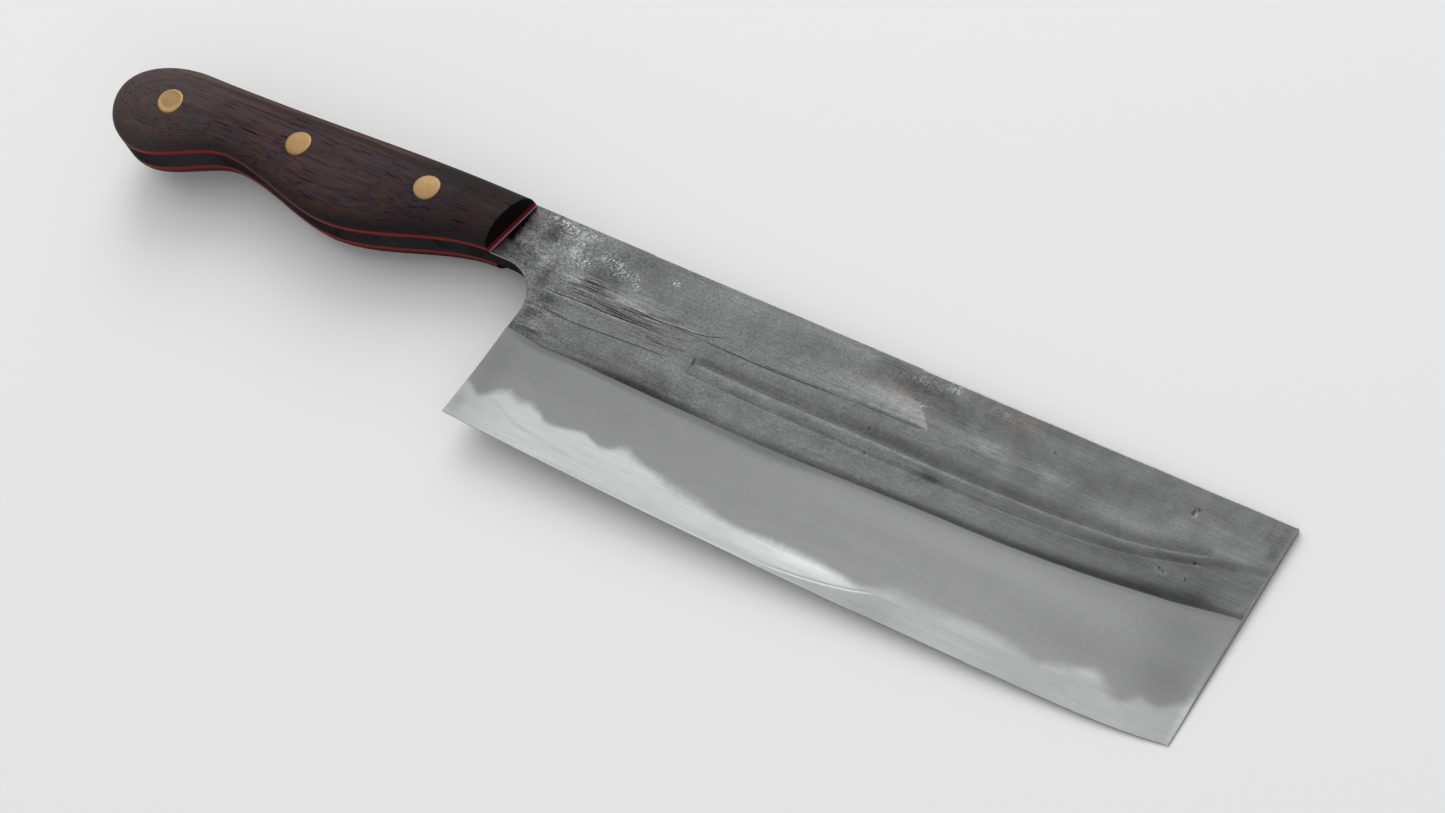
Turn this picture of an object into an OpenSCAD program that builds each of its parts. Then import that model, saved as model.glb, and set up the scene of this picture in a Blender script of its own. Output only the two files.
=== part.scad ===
// Rectangular kitchen cleaver for vegetables: a forged three-layer blade with a full
// tang, two wooden handle scales on thin fibre liners, and three brass pins.
//
// Working frame: X runs from the handle to the tip, with 0 where the handle meets the
// spine; Y is 0 on the spine and negative towards the cutting edge; Z is 0 on the
// middle plane of the blade. place() moves the finished pieces so that the middle of
// the whole knife's box is the origin.

/* [Blade outline] */
// Length of the spine ahead of the handle
blade_len = 176.7; // [150:1:200]
// Greatest depth of the blade, from the spine to the edge
blade_depth = 50.2; // [44:0.1:60]
// How much shallower the blade is at the heel corner
heel_rise = 2.4; // [0.5:0.1:4]
// How much shallower the blade is at the tip's lower corner
tip_rise = 1.7; // [0.3:0.1:4]
// Distance of the deepest point of the edge from the tip
belly_from_tip = 38; // [20:1:60]
// How far the tip's lower corner lies behind the upper one
tip_setback = 1; // [0:0.1:5]
// Distance of the heel corner from the front of the handle
heel_gap = 6.9; // [4:0.1:12]
// Lean of the heel, in degrees from square
heel_lean = 8; // [0:0.1:10]
// How far the heel line bows towards the tip at its middle
heel_bow = 0.3; // [0:0.1:1]
// Radius of the throat between the neck and the heel
throat_r = 8.8; // [5:0.1:11]

/* [Blade thickness] */
// Thickness of the tang, which fills the handle
tang_t = 5; // [4:0.1:6]
// How far each side of the blade lies below the tang where the handle meets the spine
neck_step = 0.15; // [0.05:0.05:0.6]
// Thickness of the spine at the tip
tip_t = 1.8; // [1.2:0.1:2.6]
// How much thinner the blade is along the bevel line than at the spine
flat_fall = 0.3; // [0.1:0.05:0.5]
// Thickness left along the cutting edge
edge_t = 0.2; // [0.1:0.05:0.4]
// How far the thicker tang shows ahead of the handle
tang_lip = 0.4; // [0.2:0.1:1.5]

/* [Bevel] */
// Depth of the bevel line below the spine, along the heel half
bevel_line = 27.4; // [24:0.1:32]
// How far the bevel line climbs towards the spine at the tip
bevel_climb = 6.6; // [0:0.1:10]
// Distance from the handle at which the climb starts
climb_start = 60; // [20:1:100]

/* [Layers] */
// Thickness of the hard core at the front of the handle
core_t = 0.96; // [0.6:0.02:1.4]
// Thickness of the hard core at the tip
core_tip_t = 0.34; // [0.2:0.02:0.5]
// Height added to the bare strip of core above the edge
core_show = 0; // [-2:0.1:3]

/* [Handle outline] */
// Length of the handle along the spine line
handle_len = 103; // [95:0.1:130]
// Depth of the handle at its front, flush with the neck
front_depth = 13.5; // [11:0.1:16]
// Lean of the handle's front, in degrees from square
front_lean = 14.3; // [0:0.1:20]
// Depth of the palm swell below the spine line
swell_depth = 22.1; // [18:0.1:26]
// Distance of the palm swell from the front
swell_pos = 41.3; // [32:0.1:50]
// Depth of the finger waist below the spine line
waist_depth = 17.1; // [14:0.1:20]
// Distance of the finger waist from the front
waist_pos = 70.8; // [60:0.1:76]
// Depth of the rounded butt below the spine line
butt_depth = 24; // [20:0.1:28]
// Distance of the butt's deepest point from the front
butt_pos = 91.3; // [82:0.1:92]
// Depth of the butt's end point below the spine line
butt_axis = 13; // [10:0.1:16]
// How far the back of the handle falls below the spine line
back_fall = 2.4; // [0:0.1:5]
// Distance of the back's shoulder from the front
shoulder_pos = 84.3; // [78:0.1:90]

/* [Scales and liners] */
// Thickness of each liner
liner_t = 1; // [0.4:0.05:1.5]
// Height of a scale's crown at the front
crown_front = 5; // [3:0.1:7]
// Height of a scale's crown at the palm swell
crown_swell = 6.4; // [4:0.1:8]
// Height of a scale's crown at the waist
crown_waist = 5.9; // [4:0.1:8]
// Height of a scale's crown at the butt
crown_butt = 6.2; // [4:0.1:8]
// Length over which the crown rounds off at the butt's end
crown_round = 16; // [10:0.5:20]

/* [Pins] */
// Diameter of the brass pins
pin_d = 5.8; // [4:0.1:7]
// Distance of the front pin from the front of the handle
pin_front_pos = 20.3; // [15:0.1:25]
// Distance of the middle pin from the front of the handle
pin_middle_pos = 52.7; // [45:0.1:60]
// Distance of the rear pin from the front of the handle
pin_rear_pos = 86.3; // [80:0.1:90]
// Depth of the front pin below the spine line
pin_depth = 8.2; // [7:0.1:10]
// Fall of the line of pins towards the butt, in degrees
pin_line_fall = 4.2; // [2:0.1:6]
// Clearance around a pin in its bores
pin_clear = 0.02; // [0.01:0.01:0.05]

/* [Hidden] */

big = 400;                          // larger than the whole knife
heel_x = heel_gap;
tip_x = blade_len - tip_setback;    // the tip's lower corner
neck_t = tang_t - 2 * neck_step;    // thickness of the spine just ahead of the handle
low_x = blade_len - belly_from_tip; // the deepest point of the edge
edge_half = edge_t / 2;
liner_top = tang_t / 2 + liner_t;
edge_steps = 36;
bevel_steps = 40;
arc_steps = 18;
heel_steps = 8;
front_run = front_depth * tan(front_lean); // how far the front leans back at the belly
overrun = 4;                        // how far a form runs on past the face that trims it
back_start = 8;                     // the back runs straight over this length
end_angle = 86;                     // leaves a small flat at the butt's end
section_steps = 18;

// The bare strip of core above the edge: [distance from the heel, height].
strip = [[0, 9], [4.5, 7], [9, 10.3], [22, 8], [31, 9], [34.5, 8.1], [39.5, 10.6],
         [52, 6.8], [72, 5.1], [81, 6], [98, 5], [108, 6.4], [114, 6.2], [130, 8],
         [138.5, 5.8], [150, 8.6], [155.5, 6.9], [159.5, 8.3], [164, 7.5], [172, 8.5]];
strip_steps = 4;

function ease(t) = t * t * (3 - 2 * t);
function blend(a, b, t) = a + (b - a) * ease(max(0, min(1, t)));
function round_off(t) = sqrt(max(0, 1 - t * t));

// ---- blade: curves across its depth, all negative Y ----

function edge_y(x) = -blade_depth + (x < low_x
    ? heel_rise * pow((low_x - x) / (low_x - heel_x), 2.6)
    : tip_rise * pow((x - low_x) / (tip_x - low_x), 3.6));
function bevel_y(x) = -bevel_line
    + bevel_climb * pow(max(0, x - climb_start) / (blade_len - climb_start), 2.6);

// Half thickness of the flat above the bevel, falling towards the tip and the edge.
flat_slope_x = (neck_t - tip_t) / 2 / blade_len;
flat_slope_y = flat_fall / 2 / bevel_line;
function flat_z(x, y) = neck_t / 2 - flat_slope_x * x + flat_slope_y * y;

core_slope = (core_t - core_tip_t) / 2 / blade_len;

heel_foot = [heel_x, edge_y(heel_x)];
throat_y = -front_depth - throat_r;
heel_top_y = throat_y - throat_r * sin(heel_lean);
heel_top_x = heel_x + (heel_top_y - heel_foot[1]) * tan(heel_lean);
throat_x = heel_top_x - throat_r * cos(heel_lean);

// The heel line from its corner up to the throat, with a slight bow.
function heel_at(t) = [heel_x + (heel_top_x - heel_x) * t + 4 * heel_bow * t * (1 - t),
                       heel_foot[1] + (heel_top_y - heel_foot[1]) * t];

module blade_outline() {
    edge = [for (i = [0:edge_steps]) let (x = tip_x + (heel_x - tip_x) * i / edge_steps)
            [x, edge_y(x)]];
    heel = [for (i = [1:heel_steps - 1]) heel_at(i / heel_steps)];
    throat = [for (i = [0:arc_steps]) let (a = -heel_lean + (90 + heel_lean) * i / arc_steps)
              [throat_x + throat_r * cos(a), throat_y + throat_r * sin(a)]];
    polygon(concat([[-front_run, 0], [blade_len, 0]], edge, heel, throat,
                   [[-front_run, -front_depth]]));
}

// Everything between the two bevels: above the bevel line it opens out, so that there
// the flats alone bound the blade.
module bevel_body() {
    start = -front_run - overrun;
    xs = [for (i = [0:bevel_steps])
          start + (blade_len + overrun - start) * i / bevel_steps];
    half = [for (x = xs) let (e = edge_y(x), b = bevel_y(x), z = flat_z(x, b),
                              slope = (z - edge_half) / (b - e))
            [[e - overrun, edge_half], [e, edge_half],
             [b + overrun, z + overrun * slope], [b + overrun, tang_t], [overrun, tang_t]]];
    n = 2 * len(half[0]);
    rings = [for (i = [0:len(xs) - 1])
             concat([for (p = half[i]) [xs[i], p[0], p[1]]],
                    [for (j = [len(half[i]) - 1:-1:0]) [xs[i], half[i][j][0], -half[i][j][1]]])];
    loft(rings, n);
}

// A closed body through rings of n points each.
module loft(rings, n) {
    count = len(rings);
    sides = [for (i = [0:count - 2]) for (j = [0:n - 1]) let (k = (j + 1) % n)
             [i * n + j, i * n + k, (i + 1) * n + k, (i + 1) * n + j]];
    polyhedron([for (r = rings) for (p = r) p],
               concat([[for (j = [n - 1:-1:0]) j]], sides,
                      [[for (j = [0:n - 1]) (count - 1) * n + j]]));
}

// The half space below a plane that holds the line at height z above the origin and
// falls by slope_x along X and by slope_y against Y.
module below(z, slope_x, slope_y = 0) {
    translate([0, 0, z])
        rotate([atan(slope_y * cos(atan(slope_x))), atan(slope_x), 0])
            translate([-big, -big, -big]) cube([2 * big, 2 * big, big]);
}

module both_ways(z, slope_x, slope_y = 0) {
    intersection() {
        below(z, slope_x, slope_y);
        mirror([0, 0, 1]) below(z, slope_x, slope_y);
    }
}

module forging() {
    difference() {
        union() {
            intersection() {
                translate([0, 0, -tang_t]) linear_extrude(2 * tang_t) blade_outline();
                both_ways(neck_t / 2, flat_slope_x, flat_slope_y);
                bevel_body();
            }
            handle_plate(-tang_t / 2, tang_t, tang_lip);
        }
        pin_bores();
    }
}

function strip_at(i, t) = [
    heel_x + strip[i][0] + (strip[i + 1][0] - strip[i][0]) * t,
    blend(strip[i][1], strip[i + 1][1], t) + core_show];

module bare_strip() {
    top = [for (i = [0:len(strip) - 2]) for (s = [0:strip_steps - 1])
           strip_at(i, s / strip_steps)];
    line = [for (p = top) if (p[0] < blade_len) [p[0], edge_y(p[0]) + p[1]]];
    last = line[len(line) - 1][1];
    translate([0, 0, -tang_t]) linear_extrude(2 * tang_t)
        polygon(concat([[heel_x - overrun, line[0][1]]], line,
                       [[blade_len + overrun, last],
                        [blade_len + overrun, -blade_depth - overrun],
                        [heel_x - overrun, -blade_depth - overrun]]));
}

module cladding_pair() {
    difference() {
        forging();
        both_ways(core_t / 2, core_slope);
        bare_strip();
    }
}

module cladding(side) {
    color([0.48, 0.49, 0.50])
        intersection() {
            cladding_pair();
            translate([-big, -big, side > 0 ? 0 : -big]) cube([2 * big, 2 * big, big]);
        }
}

module core_steel() {
    color([0.72, 0.73, 0.74])
        intersection() {
            forging();
            union() {
                both_ways(core_t / 2, core_slope);
                bare_strip();
            }
        }
}

// ---- handle: u is the distance back from its front ----

function back_depth(u) = u < shoulder_pos
    ? blend(0, back_fall, (u - back_start) / (shoulder_pos - back_start))
    : butt_axis - (butt_axis - back_fall)
        * round_off((u - shoulder_pos) / (handle_len - shoulder_pos));
function belly_depth(u) =
    u < swell_pos ? blend(front_depth, swell_depth, (u - front_run) / (swell_pos - front_run))
    : u < waist_pos ? blend(swell_depth, waist_depth, (u - swell_pos) / (waist_pos - swell_pos))
    : u < butt_pos ? blend(waist_depth, butt_depth, (u - waist_pos) / (butt_pos - waist_pos))
    : butt_axis + (butt_depth - butt_axis) * round_off((u - butt_pos) / (handle_len - butt_pos));
function crown(u) =
    (u < swell_pos ? blend(crown_front, crown_swell, u / swell_pos)
    : u < waist_pos ? blend(crown_swell, crown_waist, (u - swell_pos) / (waist_pos - swell_pos))
    : blend(crown_waist, crown_butt, (u - waist_pos) / (butt_pos - waist_pos)))
    * round_off(max(0, u - (handle_len - crown_round)) / crown_round);

// Stations along the handle, from ahead of its front to the end of the butt.
front_steps = 32;
butt_steps = 14;
stations = concat(
    [for (i = [0:front_steps - 1]) -overrun + (shoulder_pos + overrun) * i / front_steps],
    [for (i = [0:butt_steps]) shoulder_pos
        + (handle_len - shoulder_pos) * sin(end_angle * i / butt_steps)]);

module handle_outline() {
    polygon(concat([for (u = stations) [-u, -back_depth(u)]],
                   [for (i = [len(stations) - 1:-1:0]) [-stations[i], -belly_depth(stations[i])]]));
}

// All that lies ahead of the handle's leaning front.
module ahead(lip) {
    translate([lip, 0, 0]) rotate([0, 0, -front_lean])
        translate([0, -big, -big]) cube([big, 2 * big, 2 * big]);
}

module handle_plate(z, t, lip) {
    difference() {
        translate([0, 0, z]) linear_extrude(t) handle_outline();
        ahead(lip);
    }
}

// The handle's whole outer form: straight walls at the tang and liners, and a domed
// crown on each side of them.
module handle_form() {
    half = [for (u = stations)
            let (mid = (back_depth(u) + belly_depth(u)) / 2,
                 reach = (belly_depth(u) - back_depth(u)) / 2, c = crown(u))
            [for (s = [0:section_steps]) let (a = 180 * s / section_steps)
             [-u, -mid + reach * cos(a), liner_top + c * sin(a)]]];
    n = 2 * (section_steps + 1);
    rings = [for (r = half) concat([for (p = r) p],
             [for (j = [section_steps:-1:0]) [r[j][0], r[j][1], -r[j][2]]])];
    difference() {
        loft(rings, n);
        ahead(0);
    }
}

pin_pos = [pin_front_pos, pin_middle_pos, pin_rear_pos];
function pin_at(k) = [-pin_pos[k],
                      -pin_depth - (pin_pos[k] - pin_front_pos) * tan(pin_line_fall), -big / 2];

module pin_bores() {
    for (k = [0:2]) translate(pin_at(k)) cylinder(h = big, d = pin_d + 2 * pin_clear, $fn = 64);
}

module scale(side) {
    color([0.25, 0.11, 0.10])
        difference() {
            intersection() {
                handle_form();
                translate([-big, -big, side > 0 ? liner_top : -liner_top - big])
                    cube([2 * big, 2 * big, big]);
            }
            pin_bores();
        }
}

module liner(side) {
    color([0.72, 0.03, 0.05])
        difference() {
            handle_plate(side > 0 ? tang_t / 2 : -liner_top, liner_t, 0);
            pin_bores();
        }
}

module pin(k) {
    color([0.78, 0.62, 0.36])
        intersection() {
            handle_form();
            translate(pin_at(k)) cylinder(h = big, d = pin_d, $fn = 64);
        }
}

module place() {
    translate([(handle_len - blade_len) / 2, blade_depth / 2, 0]) children();
}

place() core_steel();
place() cladding(1);  // cladding_right
place() cladding(-1);  // cladding_left
place() liner(1);  // liner_right
place() liner(-1);  // liner_left
place() scale(1);  // scale_right
place() scale(-1);  // scale_left
place() pin(0);  // pin_front
place() pin(1);  // pin_middle
place() pin(2);  // pin_rear
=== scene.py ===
# The looks of a rectangular vegetable cleaver: a forged three-layer blade with a full
# tang, rosewood scales on red fibre liners, and three brass pins.
import math
from types import SimpleNamespace

import bmesh
import bpy
import numpy as np
from mathutils import Matrix, Vector
from mathutils.bvhtree import BVHTree
from mathutils.kdtree import KDTree


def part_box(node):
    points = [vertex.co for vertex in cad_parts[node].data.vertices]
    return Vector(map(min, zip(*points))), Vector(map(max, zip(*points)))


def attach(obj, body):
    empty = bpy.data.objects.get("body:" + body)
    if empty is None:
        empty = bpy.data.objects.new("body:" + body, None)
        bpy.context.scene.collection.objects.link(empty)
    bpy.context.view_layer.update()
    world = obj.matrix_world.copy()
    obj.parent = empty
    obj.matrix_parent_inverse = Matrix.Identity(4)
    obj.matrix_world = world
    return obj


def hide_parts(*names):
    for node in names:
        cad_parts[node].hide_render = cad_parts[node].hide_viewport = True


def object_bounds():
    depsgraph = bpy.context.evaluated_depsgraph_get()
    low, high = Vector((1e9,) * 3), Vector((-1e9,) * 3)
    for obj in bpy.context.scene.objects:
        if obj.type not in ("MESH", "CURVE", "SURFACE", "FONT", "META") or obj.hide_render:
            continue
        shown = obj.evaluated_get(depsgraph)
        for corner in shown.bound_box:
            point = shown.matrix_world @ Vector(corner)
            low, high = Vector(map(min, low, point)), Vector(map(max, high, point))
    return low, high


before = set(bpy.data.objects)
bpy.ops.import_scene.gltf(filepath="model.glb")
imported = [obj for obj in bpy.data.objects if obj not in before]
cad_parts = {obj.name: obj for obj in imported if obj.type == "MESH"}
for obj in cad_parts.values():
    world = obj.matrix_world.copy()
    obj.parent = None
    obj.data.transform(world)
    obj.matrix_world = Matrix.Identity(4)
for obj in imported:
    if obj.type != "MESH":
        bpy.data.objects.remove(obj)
cad_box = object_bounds()

MM = 0.001
WELD = 1e-6
FAR = 1.0
FLAT = math.radians(0.6)  # faces closer than this in slope are one plane

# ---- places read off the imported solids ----
PINS = ("pin_front", "pin_middle", "pin_rear")
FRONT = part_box("liner_right")[1].x  # where the handle meets the spine
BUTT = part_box("liner_right")[0].x  # and its other end
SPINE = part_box("cladding_right")[1].y
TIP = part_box("cladding_right")[1].x
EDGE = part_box("core_steel")[0].y
TANG_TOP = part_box("liner_right")[0].z  # the liners lie on the tang here
SCALE_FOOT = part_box("scale_right")[0].z  # and the scales on the liners here

SIDES = {1: "right", -1: "left"}
WORKED, RIM, DARK = range(3)  # the blade's materials, in the order of STEEL

# ---- sizes of the finish, in millimetres ----
GRID = 0.37         # width of the blade's surface cells
SPINE_EASE = 0.28   # rounding along the spine
SIDE_EASE = 0.14    # rounding of the throat, the heel and the tip
LIP_EASE = 0.14     # chamfer of the tang's lip ahead of the liners
EDGE_EASE = 0.08    # chamfer on each side of the cutting edge
FRONT_EASE = 0.25   # rounding of the scales' front rim
PIN_GAP = 0.04      # between a pin and the wood round it
DISH = 0.12         # hollow in the middle of the rear pin's heads
HEAD_RIM = 0.06     # rounding of the pin heads' rims
HEAD_RINGS = (0.12, 0.45, 0.25, 0.5, 0.6)  # widths of a head's rings, from its rim
UNDER_HANDLE = 3.6  # how far the worked surface runs back under the handle's lean
DARK_WALLS = 32     # walls up to here ahead of the handle get the tang's darker material: painted dark reflection and shade, partly forge scale
OUTLINE_STEP = 1.2  # length of the tang's outline cells
OUTLINE_REACH = 0.15     # farthest that the tang's outline is from the smooth one
DISH_SHADE_SPOT = (-0.3, 0.3)  # where the painted shade of the rear pin's dish is centred, from its middle


def smooth(t):
    """0 below 0, 1 above 1, with a soft rise between them."""
    t = np.clip(t, 0, 1)
    return t * t * (3 - 2 * t)


def curve(*points):
    """A smooth function through (place, value) points."""
    px, py = (np.array(v, float) for v in zip(*points))
    slope = np.gradient(py, px)

    def at(x):
        x = np.clip(x, px[0], px[-1])
        k = np.clip(np.searchsorted(px, x, side="right") - 1, 0, len(px) - 2)
        width = px[k + 1] - px[k]
        t = (x - px[k]) / width
        return (py[k] * (1 + 2 * t) * (1 - t) ** 2 + py[k + 1] * t * t * (3 - 2 * t)
                + slope[k] * width * t * (1 - t) ** 2 - slope[k + 1] * width * t * t * (1 - t))
    return at


def span(x, start, end, fade_in=4, fade_out=4):
    """Rises from 0 at the start to 1 and falls back to 0 at the end."""
    return smooth((x - start) / fade_in) * smooth((end - x) / fade_out)


# ---- meshes ----

def added(name, data):
    """A new object in the scene."""
    obj = bpy.data.objects.new(name, data)
    bpy.context.scene.collection.objects.link(obj)
    return obj


def solid(name, bm):
    """A new object from a bmesh, which is freed."""
    mesh = bpy.data.meshes.new(name)
    bm.to_mesh(mesh)
    bm.free()
    return added(name, mesh)


def merged(*nodes):
    """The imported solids' surfaces, with their loose triangles joined up."""
    bm = bmesh.new()
    for node in nodes:
        bm.from_mesh(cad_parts[node].data)
    bmesh.ops.remove_doubles(bm, verts=bm.verts, dist=WELD)
    for layer in list(bm.loops.layers.uv):
        bm.loops.layers.uv.remove(layer)
    return bm


def piece(name, bm, nodes, materials, sharp=math.radians(28)):
    """Makes the piece that stands for these nodes, kept inside the solids' box."""
    bmesh.ops.recalc_face_normals(bm, faces=bm.faces)
    for v in bm.verts:
        v.co = [min(max(v.co[k], cad_box[0][k]), cad_box[1][k]) for k in range(3)]
    obj = solid(name, bm)
    mesh = obj.data
    if "custom_normal" in mesh.attributes:
        mesh.attributes.remove(mesh.attributes["custom_normal"])
    if sharp is not None:
        mesh.shade_smooth()
        mesh.set_sharp_from_angle(angle=sharp)
    for material in materials:
        mesh.materials.append(material)
    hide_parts(*nodes)
    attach(obj, "root")
    return obj


def cut_off(bm, place, normal):
    """Cuts off what lies beyond a plane and closes the cut. Returns the new face's edges."""
    geom = bm.verts[:] + bm.edges[:] + bm.faces[:]
    cut = bmesh.ops.bisect_plane(bm, geom=geom, dist=1e-8, plane_co=place, plane_no=normal,
                                 clear_outer=True)
    rim = [g for g in cut["geom_cut"] if isinstance(g, bmesh.types.BMEdge)]
    bmesh.ops.contextual_create(bm, geom=rim)
    return [e for e in rim if e.is_valid]


def sliced(bm, faces, axis, first, last, step):
    """Cuts faces into strips across an axis, each of the step's width."""
    normal = Vector([float(k == axis) for k in range(3)])
    for k in range(1, int((last - first) / step)):
        place = first + k * step
        geom = dict.fromkeys(g for f in faces for g in (f, *f.edges, *f.verts))
        cut = bmesh.ops.bisect_plane(bm, geom=list(geom), dist=1e-7,
                                     plane_co=normal * place, plane_no=normal)
        faces = [g for g in cut["geom"] if isinstance(g, bmesh.types.BMFace)
                 and g.calc_center_median()[axis] > place]


def tree_of(points):
    """A tree that finds the nearest of these points."""
    tree = KDTree(len(points))
    for k, point in enumerate(points):
        tree.insert(point, k)
    tree.balance()
    return tree


# ---- the blade's marks, in millimetres ahead of the handle and above the spine line ----

UPPER_SCRAPE = curve(
    (46, -12.6), (60, -12.8), (70, -12.6), (80, -12.1), (90, -11.7), (104, -11.4))
UPPER_ECHO = curve((60, -12.6), (72, -12.1), (85, -11.5), (95, -11.2), (104, -11))
MIDDLE_SCRAPE = curve(
    (50, -17.7), (60, -17.9), (90, -17.8), (110, -17.7), (130, -17.1), (140, -16.5), (148, -15.8),
    (155, -14.6), (160, -13.4), (165, -12), (170, -10.8), (177, -9.2))
LOWER_SCRAPE = curve(
    (48, -20.5), (70, -20.9), (100, -20.8), (120, -20.5), (130, -20), (140, -19.3), (150, -18),
    (157, -16.4), (163, -14.8), (170, -13.2), (177, -11.6))
HEEL_SCRAPE = curve((11, -17.6), (15, -19.6), (20, -20.1), (33, -19.5), (48, -18.7))
# The line that crosses the neck, and those scraped beside it: (millimetres above it at 30 mm,
# climb in 20 mm, start, end, darkness; the ones below 0 are light).
NECK_SCRAPE = curve(
    (14, -14.4), (20, -14), (28, -13.5), (36, -12.8), (45, -12.2), (49, -11.8), (51.6, -11.1),
    (54, -10.2))
NECK_LINES = [
    (2.8, -0.5, 13, 30, 0.65), (2.1, -0.6, 15, 26, -0.4), (1.4, -0.3, 13, 28, 0.5),
    (0, 0, 15, 42, 0.65), (-0.5, 0.3, 13, 26, 0.45), (-0.9, -1.6, 22, 41, 0.7),
    (-1.4, -1.4, 24, 41, 0.6), (-2, -0.8, 12, 42, 0.75), (-2.4, -0.9, 12, 35, -0.6),
    (-4.8, 0.4, 38, 50, 0.5), (-2.2, 0, 41, 50, 0.4), (0.7, 0.8, 28, 48, -0.35),
    (-3.3, -1, 16, 30, 0.35), (4.2, 0.4, 18, 36, 0.3)]
SCALLOP_END = curve(
    (-12.4, 103.6), (-10.6, 101.7), (-9, 100.4), (-7.6, 98.6), (-6.3, 96), (-5.5, 92), (-5, 86))
EDGE_ARC = curve(
    (80, -49.4), (84, -49.3), (90, -49), (95, -48.5), (100, -47.8), (105, -46.8), (110, -45.4))
# Where the forged skin ends and the ground bevel starts.
GRIND = curve(
    (10, -26.4), (14, -26.9), (18, -27.4), (29, -27.35), (40, -27.6), (60, -27.7), (80, -27.6),
    (92, -27.2), (110, -26.6), (128, -26.1), (140, -25.4), (149, -24.6), (158, -23.6),
    (164, -22.8), (170, -21.8), (177, -20.7))
# The cloudy upper border of the bare core steel.
CLOUD = curve(
    (8, -39.6), (10, -40.5), (12.5, -41.8), (15.5, -39.6), (18, -38.7), (21.5, -39.6),
    (24, -39.2), (26.5, -40), (29, -41.3), (33, -41), (38, -40.1), (42.5, -41.3), (44.5, -41),
    (47.5, -39.6), (51, -40.8), (57.5, -41.9), (61, -42.9), (65, -43.2), (72, -44.3), (79, -44.7),
    (84, -44.4), (93, -44.4), (98, -44.5), (102, -44.8), (107, -45.2), (110, -44.4), (113, -43.5),
    (117, -43.8), (122, -43.5), (136, -43), (142, -43.9), (145, -44.4), (148, -43.4),
    (152, -42.5), (155.5, -41.4), (157.5, -41.6), (160, -43.4), (163.5, -44.3), (166, -42.8),
    (171, -42.4), (173.5, -40.5), (177, -38))
# A faint scuff that runs down across the bare strip.
SCUFF = curve((12, -40.9), (16, -41.5), (22, -43.7), (30, -44.9), (38, -45.5), (48, -45.8))
# The dark band along the top of the bevel: partly forge scale that the grinding left, partly
# painted shade where the surface bends at the grind line. Its depth of colour and its height,
# along the blade.
SMEAR_AND_SHADE = curve(
    (8, 0.2), (11, 0.25), (16, 0.25), (22, 0.3), (30, 0.65), (38, 0.95), (46, 1), (54, 0.7),
    (61, 0.35), (72, 0.35), (82, 0.45), (95, 0.55), (104, 0.65), (125, 0.7), (145, 0.85),
    (163, 0.85), (168, 0.75), (172, 0.45), (177, 0.45))
SMEAR_AND_SHADE_HEIGHT = curve(
    (8, 1.2), (13, 1), (18, 0.5), (28, 0.55), (36, 1), (42, 1.2), (50, 1), (62, 1), (85, 1),
    (110, 0.85), (125, 0.95), (140, 1.2), (152, 1.5), (160, 1.9), (167, 2), (171, 1), (177, 0.8))
# Painted shadow on the bevel just below the grind line: how dark it is, and how far below the
# line it reaches.
GRIND_SHADOW = curve(
    (8, 0.15), (16, 0.28), (28, 0.3), (45, 0.26), (58, 0.3), (66, 0.36), (80, 0.36), (92, 0.25),
    (110, 0.2), (177, 0.15))
GRIND_SHADOW_REACH = curve(
    (8, 0.8), (16, 1.3), (40, 1.3), (60, 1.7), (80, 1.9), (90, 1.2), (110, 1.1), (177, 1.1))
# How bright the bare strip is along the blade, and how soft its cloudy upper border is.
STRIP_GLOW = curve(
    (6, 0.8), (14, 0.95), (40, 1.02), (70, 1.06), (96, 1.12), (104, 1.02), (112, 0.82),
    (128, 0.83), (144, 0.75), (168, 0.77), (177, 0.7))
STRIP_SOFTNESS = curve(
    (6, 1.6), (20, 2.1), (31, 1.3), (43, 1.3), (47, 2.4), (54, 1.6), (64, 3), (75, 1.6), (90, 2),
    (108, 1.9), (117, 4.4), (125, 2.8), (145, 2.2), (155, 2), (161, 3), (168, 1.6), (177, 3))
# How coarse the forged skin's grain is along the blade.
GRAIN = curve(
    (0, 2.4), (14, 2.2), (22, 1.6), (50, 1.3), (62, 1), (100, 0.9), (112, 0.6), (150, 0.55),
    (177, 0.55))

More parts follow.
